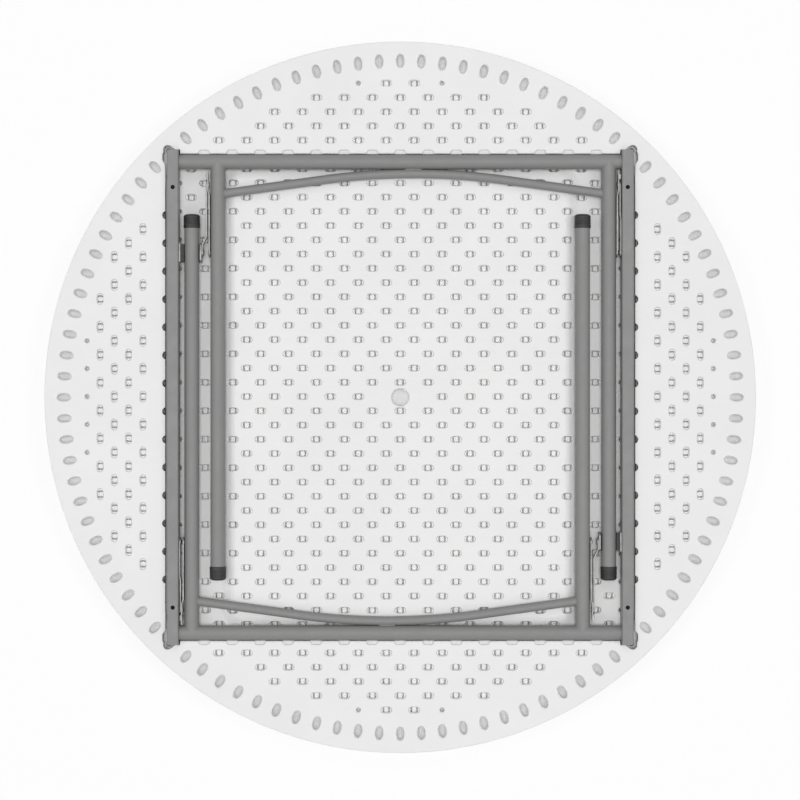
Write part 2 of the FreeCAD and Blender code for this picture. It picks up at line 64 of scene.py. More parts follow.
# Light: soft lamps overhead, at both sides and at both ends, and the room around
LAMP_SOFTNESS = 24.0
LOW_LAMP_ELEVATION = 50.0
TOP_LAMP_SHARE = 0.28
SIDE_LAMP_SHARE = 0.10
END_LAMP_SHARE = 0.05
ROOM_SHARE = 0.42
FLOOR_WHITE = 0.95
FLOOR_SHADOW_SHARE = 0.3
FLOOR_SIZE = 30000.0
FLOOR_DROP = 0.3

# Meshes: which points are one, which edges are smooth, and the edges of the solids that stay
SAME_POINT = 0.001
SMOOTH_ANGLE = 32.0
LEVEL_SMOOTH_ANGLE = 2.0
LEVEL_NORMAL = 0.9999
NODE_SMOOTH_ANGLE = 25.0
NODE_BEVEL = 0.35
NODE_BEVEL_ANGLE = 40.0
CORNER_STEPS = 8
FILL_INSIDE = 1
FILL_TOLERANCE = 1e-4

# Levels of the moulded underside
FIELD_Z = 45.0
FLOOR_Z = 23.0
PANEL_Z = 30.5

# Rim of the top
SIDE_DRAW = 0.35
FIELD_EDGE_ROUND = 2.0
TOP_EDGE_ROUND = 8.0
PARTING_Z = 27.0
PARTING_WIDTH = 1.2
RIM_STEPS = 200

# Recess for the frame: its side walls lean in over the rails' sloped walls
RECESS_X = 407.25
RECESS_Y = 424.3
RECESS_CORNER = 10.0
LIP_X = 402.2
LIP_FULL_Y = 398.0
LIP_END_Y = 407.0
NOTCH_X = 400.5
NOTCH_R = 7.0
NOTCH_PITCH = 48.0
NOTCH_COUNT = 7
LEAST_UNDERCUT = 0.3
WALL_EDGE = 0.6
WALL_FOOT = 1.0
WALL_DROPS = [0.6, 1.5, 2.8, 4.6, 6.3, FIELD_Z - FLOOR_Z - WALL_FOOT]

# End walls between the rails: close behind the pivot tubes, with a round edge and bitten into
# by the last row of dimples
END_WALL_X = 376.8
END_FOOT_Y = 417.0
END_EDGE = 3.0
END_SHELF = 4.0
BITE_Y = 417.8
BITE_COUNT = 7
BITE_MARGIN = 1.0

# Raised panel: the half sizes are those of its flat top
PANEL_X = 284.0
PANEL_Y = 377.0
PANEL_CORNER = 16.0
PANEL_SLOPE = 24.0

# Ridges under the rails
RIDGE_INNER_X = 387.3
RIDGE_OUTER_LOW = 403.8
RIDGE_OUTER_HIGH = 396.3
RIDGE_TOP_Z = 55.3
RIDGE_HALF_LENGTH = 384.0
RIDGE_CORNER = 3.0
RIDGE_CHAMFER = 1.5
RIDGE_SUNK = 1.0

# Ring of rim pockets. Shoulders and pits are the steps of a Hollow, here and for the dimples.
POCKET_COUNT = 100
POCKET_RING = 576.2
POCKET_A = 13.4
POCKET_B = 8.6
POCKET_SQUARENESS = 2.2
POCKET_STEPS = 28
POCKET_BOWL_STEPS = 7
POCKET_SHOULDER = [(0.5, 0.1), (1.2, 0.5), (1.9, 1.5)]
POCKET_DEPTH = 19.0
PIT_FULLNESS = 3.4
CORNER_POCKET_INSET = 2.6
CORNER_POCKET_SHOULDER = [(0.3, 0.3)]
CORNER_POCKET_PIT = [(10.4, 5.8, 2.0), (10.0, 5.4, 17.0), (7.0, 3.0, 19.0)]

# Small dimples on a staggered grid. Field rows are (row, reach) and field columns (x, reach), with
# the reach in half columns. The last row ends in round dimples, and the last columns have no other.
GRID_Y = 1.3
DIMPLE_A = 10.4
DIMPLE_B = 6.1
ROUND_DIMPLE = 5.8
DIMPLE_ARC_STEPS = 9
DIMPLE_MARGIN = 0.6
DISH_SHOULDER = [(0.3, 0.6), (1.5, 4.8)]
DIMPLE_PIT = [(6.4, 4.5, 5.2), (6.0, 4.4, 15.5), (4.0, 4.3, 15.5), (3.6, 4.2, 7.5), (2.0, 1.5, 7.2)]
DIMPLE_SQUARENESS = 7
ROUND_STEPS = 20
ROUND_BOWL_STEPS = 5
ROUND_DEPTH = 13.0
RAIL_ROUND_DEPTH = 14.0
HALF_COLUMN = 24.0
ROW = 24.5
FIELD_HALF_COLUMN = 23.9
FIELD_ROW = 24.4
FIELD_ROWS = [(18, 13), (19, 10), (20, 9), (21, 6), (22, 3)]
FIELD_COLUMNS = [(440.7, 12), (465.4, 11), (489.7, 10), (514.0, 7), (536.3, 4)]
GRID_COLUMNS = 16
GRID_ROWS = 17
RAIL_DIMPLE_X = 380.3
CENTRE_MARK_R = 17.0
CENTRE_MARK_DEPTH = 21.8
CENTRE_MARK_STEPS = 48
CENTRE_MARK_BOWL_STEPS = 10

# Folding frame, as the solids have it: the rear set's places, with the left leg inner
LEG_R = 12.7
LEG_Z = 39.5
LEG_SPACING = 670.0
INNER_LEG_X = -312.65
OUTER_LEG_X = 357.35
PIVOT_Y = 403.7
STRETCHER_R = 7.7
STRETCHER_END = 55.5
STRETCHER_SLOPE = 7.75
STRETCHER_SUNK = 1.6
STRETCHER_GAP = 0.05
TUBE_STEPS = 32

# Foot caps: the profiles are (distance, inset), the mouth's from the cap's open end
FOOT_SOLE_Y = -313.7
FOOT_LENGTH = 23.8
FOOT_WALL = 1.35
FOOT_GAP = 0.05
FOOT_SOLE = [(0.0, 5.5), (0.25, 4.2), (1.1, 2.0), (2.4, 0.6), (4.0, 0.1), (5.2, 0.0)]
FOOT_RIBS = 4
FOOT_FIRST_RIB = 6.6
FOOT_RIB_PITCH = 3.2
FOOT_RIB = [(0.0, 0.0), (0.4, 0.55), (1.2, 0.55), (1.6, 0.0)]
FOOT_MOUTH = [(1.0, 0.0), (0.2, 0.4), (0.0, 0.9)]
FOOT_LEAD_IN = 0.3
FOOT_BASE = 4.0
FOOT_BASE_ROUND = 0.2
FOOT_BASE_INSET = 0.6
FOOT_STEPS = 48

# Weld beads: a lift is how far a bead's middle line stands off the tube beside it
LEG_WELD_R = 1.3
LEG_WELD_SINK = 1.3
LEG_WELD_LIFT = 0.2
STRETCHER_WELD_R = 1.1
STRETCHER_WELD_LIFT = 0.2
STRETCHER_WELD_SHIFT = 1.5
TACK_WELD_R = 2.0
TACK_RISE = 4.0
TACK_LIFT = 0.6
TACK_HALF_LENGTH = 14
WELD_RIPPLE = 2.6
WELD_RIPPLE_SHARE = 0.13
WELD_END_SHARE = 0.04
WELD_STEPS = 8

# Braces: a head is (stand-off of its start, stand-off of its top, radius), and the stand-offs
# are from the leg's surface, or for the anchor rivet back from the plate that carries it
BRACE_REACH = 156.0
ELBOW_REACH = 39.16
INNER_PLATE_OFF = 12.7
OUTER_PLATE_OFF = 6.5
LEG_RIVET = (2.45, 4.3, 5.0)
ANCHOR_RIVET = (0.05, 2.0, 5.2)
ELBOW_RIVET = (2.85, 1.2, 5.0)
ELBOW_CLINCH = (7.25, 8.1, 4.6)
EAR_FAR_X = -342.85
EAR_CLINCH_R = 4.6
EAR_CLINCH_HEIGHT = 1.2
HEAD_SUNK = 0.3
HEAD_EDGE = 0.3
HEAD_EDGE_SHARE = 0.3
HEAD_FOOT_SHARE = 0.96
HEAD_FULLNESS = 0.8
RIVET_STEPS = 28

# Rail screws: the head and its cross are (share of the radius, height over the rail)
RAIL_TOP_Z = 57.0
SCREW_X = 388.5
SCREW_Y = 359.0
SCREW_R = 3.8
SCREW_PROUD = 0.05
SCREW_HEAD = [(1.0, -1.0), (1.0, -0.05), (0.93, SCREW_PROUD), (0.6, SCREW_PROUD)]
SCREW_CROSS = [(0.55, SCREW_PROUD), (0.50, SCREW_PROUD / 4), (0.2, SCREW_PROUD / 5)]
CROSS_WAIST = 0.42
SCREW_STEPS = 48


# Camera, light and floor


def point_camera():
    data = bpy.data.cameras.new("camera")
    data.sensor_width = SENSOR
    data.lens = SENSOR * CAMERA_RISE / VIEW_WIDTH
    data.clip_end = VIEW_DEPTH * MM
    camera = bpy.data.objects.new("camera", data)
    camera.location = Vector((AIM_X, AIM_Y, CAMERA_RISE + VIEW_LEVEL)) * MM
    bpy.context.scene.collection.objects.link(camera)
    bpy.context.scene.camera = camera


def add_lamp(name, share, x, y):
    """A soft distant lamp, strong enough to give its share of the light on a level surface.
    It stands low towards x, y, or straight overhead where both are 0."""
    away = Vector((x, y, math.tan(math.radians(LOW_LAMP_ELEVATION)))).normalized()
    data = bpy.data.lights.new(name, "SUN")
    data.energy = share * math.pi / away.z
    data.angle = math.radians(LAMP_SOFTNESS)
    lamp = bpy.data.objects.new(name, data)
    lamp.rotation_euler = away.to_track_quat("Z", "Y").to_euler()
    bpy.context.scene.collection.objects.link(lamp)


def seen_directly(tree):
    """1 where the camera, a reflection or a view through glass meets the surface."""
    path = tree.nodes.new("ShaderNodeLightPath")
    total = None
    for name in ("Is Camera Ray", "Is Glossy Ray", "Is Transmission Ray"):
        if total is None:
            total = path.outputs[name]
            continue
        either = tree.nodes.new("ShaderNodeMath")
        either.operation = "MAXIMUM"
        tree.links.new(total, either.inputs[0])
        tree.links.new(path.outputs[name], either.inputs[1])
        total = either.outputs[0]
    return total


def light_room():
    """Even light all round, seen as plain white."""
    world = bpy.data.worlds.new("room")
    bpy.context.scene.world = world
    world.use_nodes = True
    tree = world.node_tree
    background = tree.nodes["Background"]
    background.inputs["Color"].default_value = (1, 1, 1, 1)
    strength = tree.nodes.new("ShaderNodeMapRange")
    strength.inputs["To Min"].default_value = ROOM_SHARE
    strength.inputs["To Max"].default_value = 1.0
    tree.links.new(seen_directly(tree), strength.inputs["Value"])
    tree.links.new(strength.outputs[0], background.inputs["Strength"])


def floor_material():
    """A pale floor that takes the shadow. Seen directly, most of it is plain white."""
    material = bpy.data.materials.new("pale_floor")
    material.use_nodes = True
    tree = material.node_tree
    tree.nodes.clear()
    output = tree.nodes.new("ShaderNodeOutputMaterial")
    lit = tree.nodes.new("ShaderNodeBsdfDiffuse")
    lit.inputs["Color"].default_value = (FLOOR_WHITE, FLOOR_WHITE, FLOOR_WHITE, 1)
    white = tree.nodes.new("ShaderNodeEmission")
    share = tree.nodes.new("ShaderNodeMath")
    share.operation = "MULTIPLY"
    share.inputs[1].default_value = 1 - FLOOR_SHADOW_SHARE
    mix = tree.nodes.new("ShaderNodeMixShader")
    tree.links.new(seen_directly(tree), share.inputs[0])
    tree.links.new(share.outputs[0], mix.inputs["Fac"])
    tree.links.new(lit.outputs[0], mix.inputs[1])
    tree.links.new(white.outputs[0], mix.inputs[2])
    tree.links.new(mix.outputs[0], output.inputs["Surface"])
    return material


def lay_floor():
    half = FLOOR_SIZE / 2
    corners = [(-half, -half), (half, -half), (half, half), (-half, half)]
    shell = Shell()
    shell.faces.append(tuple(shell.ring(at_height(corners, -FLOOR_DROP))))
    floor = shell.make("pale_floor", floor_material())


# Materials: the patterns follow each piece's own coordinates, in metres


def noise(tree, scale, detail=3.0, stretch=(1, 1, 1)):
    """A noise pattern with so many features a metre, drawn out along an axis by stretch."""
    place = tree.nodes.new("ShaderNodeTexCoord")
    mapping = tree.nodes.new("ShaderNodeMapping")
    mapping.inputs["Scale"].default_value = stretch
    texture = tree.nodes.new("ShaderNodeTexNoise")
    texture.inputs["Scale"].default_value = scale
    texture.inputs["Detail"].default_value = detail
    tree.links.new(place.outputs["Object"], mapping.inputs["Vector"])
    tree.links.new(mapping.outputs[0], texture.inputs["Vector"])
    return texture.outputs["Fac"]


def spread(tree, value, low, high, low_in=0.3, high_in=0.7):
    """Maps a pattern's middle range to the range from low to high."""
    node = tree.nodes.new("ShaderNodeMapRange")
    node.inputs["From Min"].default_value = low_in
    node.inputs["From Max"].default_value = high_in
    node.inputs["To Min"].default_value = low
    node.inputs["To Max"].default_value = high
    tree.links.new(value, node.inputs["Value"])
    return node.outputs[0]


def blend_colours(tree, factor, first, second):
    """first and second are linear colours or sockets."""
    mix = tree.nodes.new("ShaderNodeMix")
    mix.data_type = "RGBA"
    tree.links.new(factor, mix.inputs["Factor"])
    for name, value in (("A", first), ("B", second)):
        socket = next(s for s in mix.inputs if s.name == name and s.type == "RGBA")
        if isinstance(value, tuple):
            socket.default_value = (*value, 1)
        else:
            tree.links.new(value, socket)
    return next(s for s in mix.outputs if s.type == "RGBA")


def bump(tree, heights):
    """Chains bumps of (pattern, depth in millimetres)."""
    normal = None
    for pattern, depth in heights:
        node = tree.nodes.new("ShaderNodeBump")
        node.inputs["Distance"].default_value = depth * MM
        tree.links.new(pattern, node.inputs["Height"])
        if normal is not None:
            tree.links.new(normal, node.inputs["Normal"])
        normal = node.outputs[0]
    return normal


def dressed(name, metallic=0.0, specular=0.5):
    """A new material, its node tree and its shader."""
    material = bpy.data.materials.new(name)
    material.use_nodes = True
    tree = material.node_tree
    shader = tree.nodes["Principled BSDF"]
    shader.inputs["Metallic"].default_value = metallic
    shader.inputs["Specular IOR Level"].default_value = specular
    return material, tree, shader


def white_plastic():
    """Blow-moulded polyethylene: soft clouds in the white, a faint orange peel, handling scuffs."""
    material, tree, shader = dressed("white_plastic", specular=0.35)
    clouds = spread(tree, noise(tree, 9), 0, 1)
    base = blend_colours(tree, clouds, (0.778, 0.780, 0.776), (0.806, 0.807, 0.803))
    specks = spread(tree, noise(tree, 420, 2), 0, 0.05, 0.62, 0.8)
    base = blend_colours(tree, specks, base, (0.62, 0.62, 0.60))
    tree.links.new(base, shader.inputs["Base Color"])
    scuffs = noise(tree, 60, 5, (1, 7, 1))
    tree.links.new(spread(tree, scuffs, 0.42, 0.58), shader.inputs["Roughness"])
    peel = bump(tree, [(noise(tree, 650, 2), 0.05), (noise(tree, 90, 2), 0.12)])
    tree.links.new(peel, shader.inputs["Normal"])
    return material


def grey_enamel():
    """Powder coat on steel: fine orange peel, fine grain in the grey, dull rubbed streaks."""
    material, tree, shader = dressed("grey_enamel", specular=0.4)
    grain = spread(tree, noise(tree, 1500, 2), 0, 1)
    base = blend_colours(tree, grain, (0.208, 0.208, 0.206), (0.236, 0.236, 0.234))
    haze = spread(tree, noise(tree, 14, 4), 0, 0.35)
    base = blend_colours(tree, haze, base, (0.230, 0.230, 0.225))
    tree.links.new(base, shader.inputs["Base Color"])
    rubbed = noise(tree, 50, 4, (1, 1, 3))
    tree.links.new(spread(tree, rubbed, 0.40, 0.55), shader.inputs["Roughness"])
    peel = bump(tree, [(noise(tree, 1100, 2), 0.03), (noise(tree, 260, 2), 0.03)])
    tree.links.new(peel, shader.inputs["Normal"])
    return material


def zinc_plate():
    """Bright zinc: cloudy plating with rolling lines along the plates."""
    material, tree, shader = dressed("zinc_plate", metallic=1.0)
    clouds = spread(tree, noise(tree, 90, 4), 0, 1)
    base = blend_colours(tree, clouds, (0.17, 0.17, 0.165), (0.27, 0.27, 0.265))
    tree.links.new(base, shader.inputs["Base Color"])
    lines = noise(tree, 900, 3, (1, 0.05, 1))
    tree.links.new(spread(tree, lines, 0.42, 0.58), shader.inputs["Roughness"])
    tree.links.new(bump(tree, [(lines, 0.02)]), shader.inputs["Normal"])
    return material


def black_plastic():
    """Moulded black polymer with a fine matt grain, greyer where it is rubbed."""
    material, tree, shader = dressed("black_plastic", specular=0.4)
    rubbed = spread(tree, noise(tree, 120, 5), 0, 1, 0.45, 0.8)
    base = blend_colours(tree, rubbed, (0.022, 0.022, 0.022), (0.038, 0.038, 0.037))
    tree.links.new(base, shader.inputs["Base Color"])
    grain = noise(tree, 1400, 2)
    tree.links.new(spread(tree, grain, 0.45, 0.62), shader.inputs["Roughness"])
    tree.links.new(bump(tree, [(grain, 0.05)]), shader.inputs["Normal"])
    return material


def black_steel_hole_shade():
    """Blackened screw steel with a dull oily bloom, over a near-black base that is partly painted
    shade: the dark of a screw hole laid on a head that sits flush.
    """
    material, tree, shader = dressed("black_steel_hole_shade", specular=0.1)
    bloom = spread(tree, noise(tree, 300, 4), 0, 1)
    # painted shade: this base is darker than blackened steel is, standing in for the dark inside a
    # screw hole
    base = blend_colours(tree, bloom, (0.003, 0.003, 0.003), (0.009, 0.009, 0.009))
    tree.links.new(base, shader.inputs["Base Color"])
    grain = noise(tree, 1800, 2)
    tree.links.new(spread(tree, grain, 0.6, 0.8), shader.inputs["Roughness"])
    return material


# Meshes in the making


class Shell:
    """The vertices, in millimetres, and the faces of one mesh."""

    def __init__(self):
        self.verts = []
        self.faces = []

    def ring(self, points):
        first = len(self.verts)
        self.verts.extend(points)
        return list(range(first, first + len(points)))

    def loft(self, rings, caps=(False, False)):
        """Joins rings of equal length, each closed from its last point to its first."""
        loops = [self.ring(points) for points in rings]
        count = len(loops[0])
        for low, high in zip(loops, loops[1:]):
            for i in range(count):
                j = (i + 1) % count
                self.faces.append((low[i], low[j], high[j], high[i]))
        for loop, wanted in ((loops[0], caps[0]), (loops[-1], caps[1])):
            if wanted:
                self.faces.append(tuple(loop))

    def make(self, name, material):
        """Makes the object. Level faces stay flat, and other edges are smooth up to an angle."""
        mesh = bpy.data.meshes.new(name)
        mesh.from_pydata([Vector(p) * MM for p in self.verts], [], self.faces)
        bm = bmesh.new()
        bm.from_mesh(mesh)
        bmesh.ops.remove_doubles(bm, verts=bm.verts, dist=SAME_POINT * MM)
        bmesh.ops.recalc_face_normals(bm, faces=bm.faces)
        for face in bm.faces:
            face.smooth = True
        for edge in bm.edges:
            angle = math.degrees(edge.calc_face_angle(0))
            level = any(abs(face.normal.z) > LEVEL_NORMAL for face in edge.link_faces)
            edge.smooth = angle < (LEVEL_SMOOTH_ANGLE if level else SMOOTH_ANGLE)
        bm.to_mesh(mesh)
        bm.free()
        mesh.materials.append(material)
        piece = bpy.data.objects.new(name, mesh)
        bpy.context.scene.collection.objects.link(piece)
        return piece


def fitted(shell, name, slot, body, *nodes, look=None):
    """Makes a piece that rides on a body and replaces any nodes named. It gets its slot's
    material, or the one that look names."""
    piece = shell.make(name, materials[look or slot])
    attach(piece, body)
    if nodes:
        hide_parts(*nodes)


def at_height(outline, z):
    return [(x, y, z) for x, y in outline]


def turned_point(x, y, turn):
    cosine, sine = math.cos(turn), math.sin(turn)
    return x * cosine - y * sine, x * sine + y * cosine


def rounded_rectangle(half_x, half_y, corner):
    """Anticlockwise from the right-hand side."""
    points = []
    for quarter, (sx, sy) in enumerate(((1, 1), (-1, 1), (-1, -1), (1, -1))):
        for step in range(CORNER_STEPS + 1):
            turn = math.pi / 2 * (quarter + step / CORNER_STEPS)
            x = sx * (half_x - corner) + corner * math.cos(turn)
            y = sy * (half_y - corner) + corner * math.sin(turn)
            points.append((x, y))
    return points


def outside_rectangle(x, y, half_x, half_y, corner):
    """Distance outside a rounded rectangle, negative inside."""
    over_x = abs(x) - (half_x - corner)
    over_y = abs(y) - (half_y - corner)
    return math.hypot(max(over_x, 0), max(over_y, 0)) + min(max(over_x, over_y), 0) - corner


def stadium(half_length, half_width):
    """A straight-sided outline with round ends, anticlockwise from its right-hand end."""
    core = half_length - half_width
    points = []
    for end in (1, -1):
        for step in range(DIMPLE_ARC_STEPS + 1):
            turn = math.pi * (step / DIMPLE_ARC_STEPS - 0.5)
            x = end * (core + half_width * math.cos(turn))
            points.append((x, end * half_width * math.sin(turn)))
    return points


def oval_point(half_length, half_width, squareness, turn):
    """A point of an ellipse, or with squareness above 2 of one with fuller corners."""
    cosine, sine = math.cos(turn), math.sin(turn)
    reach = (abs(cosine) ** squareness + abs(sine) ** squareness) ** (-1 / squareness)
    return half_length * reach * cosine, half_width * reach * sine


def oval(half_length, half_width, squareness, steps):
    turns = [2 * math.pi * step / steps for step in range(steps)]
    return [oval_point(half_length, half_width, squareness, turn) for turn in turns]


class Hollow:
    """A hollow in the moulding. Shoulder steps are (inset, drop) and follow the border. Pit steps
    are (half length, half width, drop) of level oval rings below the border's level."""

    def __init__(self, x, y, turn, outline, shoulder, pit, squareness=2):
        self.x, self.y, self.turn = x, y, math.radians(turn)
        self.size = max(u for u, v in outline), max(v for u, v in outline)
        self.outline = [self.placed(u, v) for u, v in outline]
        self.shoulder = shoulder
        self.pit = pit
        self.squareness = squareness

    def placed(self, u, v):
        x, y = turned_point(u, v, self.turn)
        return self.x + x, self.y + y

    def local(self, point):
        return turned_point(point[0] - self.x, point[1] - self.y, -self.turn)

    def inset(self, point, distance):
        u, v = self.local(point)
        return self.placed(u * (1 - distance / self.size[0]), v * (1 - distance / self.size[1]))

    def ring_point(self, point, half_length, half_width):
        """The point of a pit ring that faces a point of the border."""
        u, v = self.local(point)
        turn = math.atan2(v / self.size[1], u / self.size[0])
        return self.placed(*oval_point(half_length, half_width, self.squareness, turn))

    def sink(self, shell, border, level):
        """Adds the hollow's faces, from its border in the surface down to its bottom."""
        rings = [border]
        for distance, drop in self.shoulder:
            rings.append([(*self.inset(p, distance), p[2] - drop) for p in border])
        for half_length, half_width, drop in self.pit:
            z = level - drop
            rings.append([(*self.ring_point(p, half_length, half_width), z) for p in border])
        shell.loft(rings, caps=(False, True))


def bowl(half_length, half_width, depth, steps):
    """Pit steps of a full bowl inside a pocket's shoulder, with an almost flat bottom."""
    inset, start = POCKET_SHOULDER[-1]
    found = []
    for step in range(1, steps):
        turn = math.pi / 2 * step / steps
        share, drop = oval_point(1, depth - start, PIT_FULLNESS, turn)
        pit = ((half_length - inset) * share, (half_width - inset) * share, start + drop)
        found.append(pit)
    return found


def dimple(x, y, upright=False):
    """A tack-off dimple: an oblong dish with a deep slot on each side of its middle."""
    outline = stadium(DIMPLE_A, DIMPLE_B)
    turn = 90 if upright else 0
    return Hollow(x, y, turn, outline, DISH_SHOULDER, DIMPLE_PIT, DIMPLE_SQUARENESS)


def round_dimple(x, y, depth=ROUND_DEPTH):
    outline = oval(ROUND_DIMPLE, ROUND_DIMPLE, 2, ROUND_STEPS)
    pit = bowl(ROUND_DIMPLE, ROUND_DIMPLE, depth, ROUND_BOWL_STEPS)
    return Hollow(x, y, 0, outline, POCKET_SHOULDER, pit)


def rim_pocket(index):
    """A deep oval bowl with its long axis along a radius."""
    turn = index * 360 / POCKET_COUNT
    x, y = turned_point(POCKET_RING, 0, math.radians(turn))
    outline = oval(POCKET_A, POCKET_B, POCKET_SQUARENESS, POCKET_STEPS)
    pit = bowl(POCKET_A, POCKET_B, POCKET_DEPTH, POCKET_BOWL_STEPS)
    return Hollow(x, y, turn, outline, POCKET_SHOULDER, pit, POCKET_SQUARENESS)


def centre_mark():
    """The round bowl at the middle of the panel, with the pockets' soft shoulder."""
    outline = oval(CENTRE_MARK_R, CENTRE_MARK_R, 2, CENTRE_MARK_STEPS)
    pit = bowl(CENTRE_MARK_R, CENTRE_MARK_R, CENTRE_MARK_DEPTH, CENTRE_MARK_BOWL_STEPS)
    return Hollow(0, 0, 0, outline, POCKET_SHOULDER, pit)


# The moulded top


def web(shell, outlines, contours, height):
    """Fills the first outline, less the others, at height(x, y). Contours are extra closed lines
    for the filling to follow. Returns the border loop of each outline, as points."""
    coords, faces, edges, owner = [], [], [], []
    for index, outline in enumerate(outlines):
        first = len(coords)
        coords.extend(Vector(p) for p in outline)
        owner.extend([index] * len(outline))
        faces.append(list(range(first, first + len(outline))))
    for line in contours:
        first, count = len(coords), len(line)
        coords.extend(Vector(p) for p in line)
        owner.extend([None] * count)
        edges.extend((first + i, first + (i + 1) % count) for i in range(count))
    verts, _, triangles, origins, _, regions = delaunay_2d_cdt(
        coords, edges, faces, FILL_INSIDE, FILL_TOLERANCE, True
    )
    points = [(v.x, v.y, height(v.x, v.y)) for v in verts]
    kept = [tuple(t) for t, region in zip(triangles, regions) if list(region) == [0]]
    loop = shell.ring(points)
    shell.faces.extend(tuple(loop[i] for i in t) for t in kept)
    sides = {(t[i], t[(i + 1) % 3]) for t in kept for i in range(3)}
    after = {a: b for a, b in sides if (b, a) not in sides}
    borders = {}
    while after:
        start, vertex = next(iter(after.items()))
        del after[start]
        path = [start]
        while vertex != start:
            path.append(vertex)
            vertex = after.pop(vertex)
        owners = {owner[o] for v in path for o in origins[v]} - {None}
        borders[owners.pop()] = [points[v] for v in path]
    return borders


def surface(shell, outlines, holes, contours, height):
    """Fills the first outline, less the others, and sinks hollows in the filling."""
    borders = web(shell, outlines + [h.outline for h in holes], contours, height)
    for index, hole in enumerate(holes):
        hole.sink(shell, borders[len(outlines) + index], height(hole.x, hole.y))


def field_height(x, y):
    return FIELD_Z


def floor_height(x, y):
    """The recess floor, and the raised panel with its rounded slope."""
    share = outside_rectangle(x, y, PANEL_X, PANEL_Y, PANEL_CORNER) / PANEL_SLOPE
    share = min(max(share, 0), 1)
    return FLOOR_Z + (PANEL_Z - FLOOR_Z) * (1 + math.cos(math.pi * share)) / 2


def panel_contours():
    """Lines round the panel's slope, so that the filled floor follows it."""
    steps = 4
    lines = []
    for step in range(steps + 1):
        grown = PANEL_SLOPE * step / steps
        lines.append(rounded_rectangle(PANEL_X + grown, PANEL_Y + grown, PANEL_CORNER + grown))
    return lines


def floor_dimples():
    """The staggered grid on the panel and the recess floor around it, with a gap for the centre
    mark, and round dimples beside the rails."""
    found = []
    highest = END_FOOT_Y - WALL_FOOT - DIMPLE_B - DIMPLE_MARGIN
    for row in range(-GRID_ROWS, GRID_ROWS + 1):
        y = min(max(GRID_Y + row * ROW, -highest), highest)
        first = -GRID_COLUMNS if row % 2 else 1 - GRID_COLUMNS
        for column in range(first, -first + 1, 2):
            beside_rail = abs(column) == GRID_COLUMNS
            on_mark = row == 0 and abs(column) == 1
            if on_mark or (beside_rail and abs(row) == GRID_ROWS):
                continue
            if beside_rail:
                x = math.copysign(RAIL_DIMPLE_X, column)
                found.append(round_dimple(x, y, RAIL_ROUND_DEPTH))
            else:
                found.append(dimple(column * HALF_COLUMN, y))
    return found


def field_dimples():
    """Rows beyond the recess ends, and upright columns beyond its sides."""
    found = []
    for row, reach in FIELD_ROWS:
        for side in (-1, 1):
            y = GRID_Y + side * row * FIELD_ROW
            for column in range(-reach, reach + 1, 2):
                x = column * FIELD_HALF_COLUMN
                small = (row, abs(column)) == FIELD_ROWS[-1]
                found.append(round_dimple(x, y) if small else dimple(x, y))
    for x, reach in FIELD_COLUMNS:
        small = (x, reach) == FIELD_COLUMNS[-1]
        for side in (-1, 1):
            for step in range(-reach, reach + 1, 2):
                y = GRID_Y + step * FIELD_HALF_COLUMN
                found.append(round_dimple(side * x, y) if small else dimple(side * x, y, True))
    return found


def corner_reach(turn, pocket):
    """How far the recess reaches along a direction near its corner, with the rim pocket there."""
    near, far = POCKET_RING - 2 * POCKET_A, POCKET_RING + 2 * POCKET_A
    tolerance = 0.01
    while far - near > tolerance:
        middle = (near + far) / 2
        x, y = turned_point(middle, 0, turn)
        inside = outside_rectangle(x, y, RECESS_X, RECESS_Y, RECESS_CORNER) < 0
        u, v = turned_point(x - pocket.x, y - pocket.y, -pocket.turn)
        power = POCKET_SQUARENESS
        inside = inside or abs(u / POCKET_A) ** power + abs(v / POCKET_B) ** power < 1
        near, far = (middle, far) if inside else (near, middle)
    return turned_point(near, 0, turn)


def recess_quarter(pocket):
    """The recess's edge and foot in the first quarter, as pairs of points."""
    pairs = []
    half_angle = math.acos((LIP_X - NOTCH_X) / NOTCH_R)
    arc_steps = 10
    for index in range(NOTCH_COUNT):
        y = NOTCH_PITCH * (index + 0.5)
        for step in range(arc_steps + 1):
            turn = half_angle * (2 * step / arc_steps - 1)
            lip = (NOTCH_X + NOTCH_R * math.cos(turn), y + NOTCH_R * math.sin(turn))
            pairs.append((lip, (max(RECESS_X, lip[0] + LEAST_UNDERCUT), lip[1])))
    ease_steps = 6
    for step in range(ease_steps + 1):
        share = step / ease_steps
        y = LIP_FULL_Y + (LIP_END_Y - LIP_FULL_Y) * share
        x = LIP_X + (RECESS_X - LIP_X) * (1 - math.cos(math.pi * share)) / 2
        pairs.append(((x, y), (RECESS_X, y)))
    corner_steps = 40
    start = math.atan2(RECESS_Y - 1.5 * RECESS_CORNER, RECESS_X)
    end = math.atan2(RECESS_Y, RECESS_X - 3 * RECESS_CORNER)
    for step in range(corner_steps + 1):
        point = corner_reach(start + (end - start) * step / corner_steps, pocket)
        pairs.append((point, point))
    return pairs + end_wall()


def end_wall():
    """The end wall's edge and foot from the rail to the middle, as pairs of points."""
    pairs = []
    straight = DIMPLE_A - DIMPLE_B
    steps = 5
    for index in range(BITE_COUNT, -1, -1):
        middle = 2 * HALF_COLUMN * index
        offsets = [straight + DIMPLE_B * math.sin(math.pi / 2 * i / steps) for i in range(steps)]
        reach = DIMPLE_A + BITE_MARGIN
        for offset in [reach] + offsets[::-1] + [-u for u in offsets] + [-reach]:
            x = middle + offset
            out = max(abs(offset) - straight, 0)
            bite = BITE_Y + math.sqrt(max(DIMPLE_B**2 - out**2, 0))
            if x > 0:
                pairs.append(((x, max(END_FOOT_Y + END_EDGE, bite)), (x, END_FOOT_Y)))
    return [((END_WALL_X, END_FOOT_Y + END_EDGE), (END_WALL_X, END_FOOT_Y))] + pairs


def end_wall_share(drop, bitten):
    """How far an end wall has come in at a depth: round under its edge, or past a bite's shelf."""
    if bitten:
        return drop / (FIELD_Z - FLOOR_Z) if drop < END_SHELF else 1
    return math.sqrt(1 - max(1 - drop / END_EDGE, 0) ** 2)


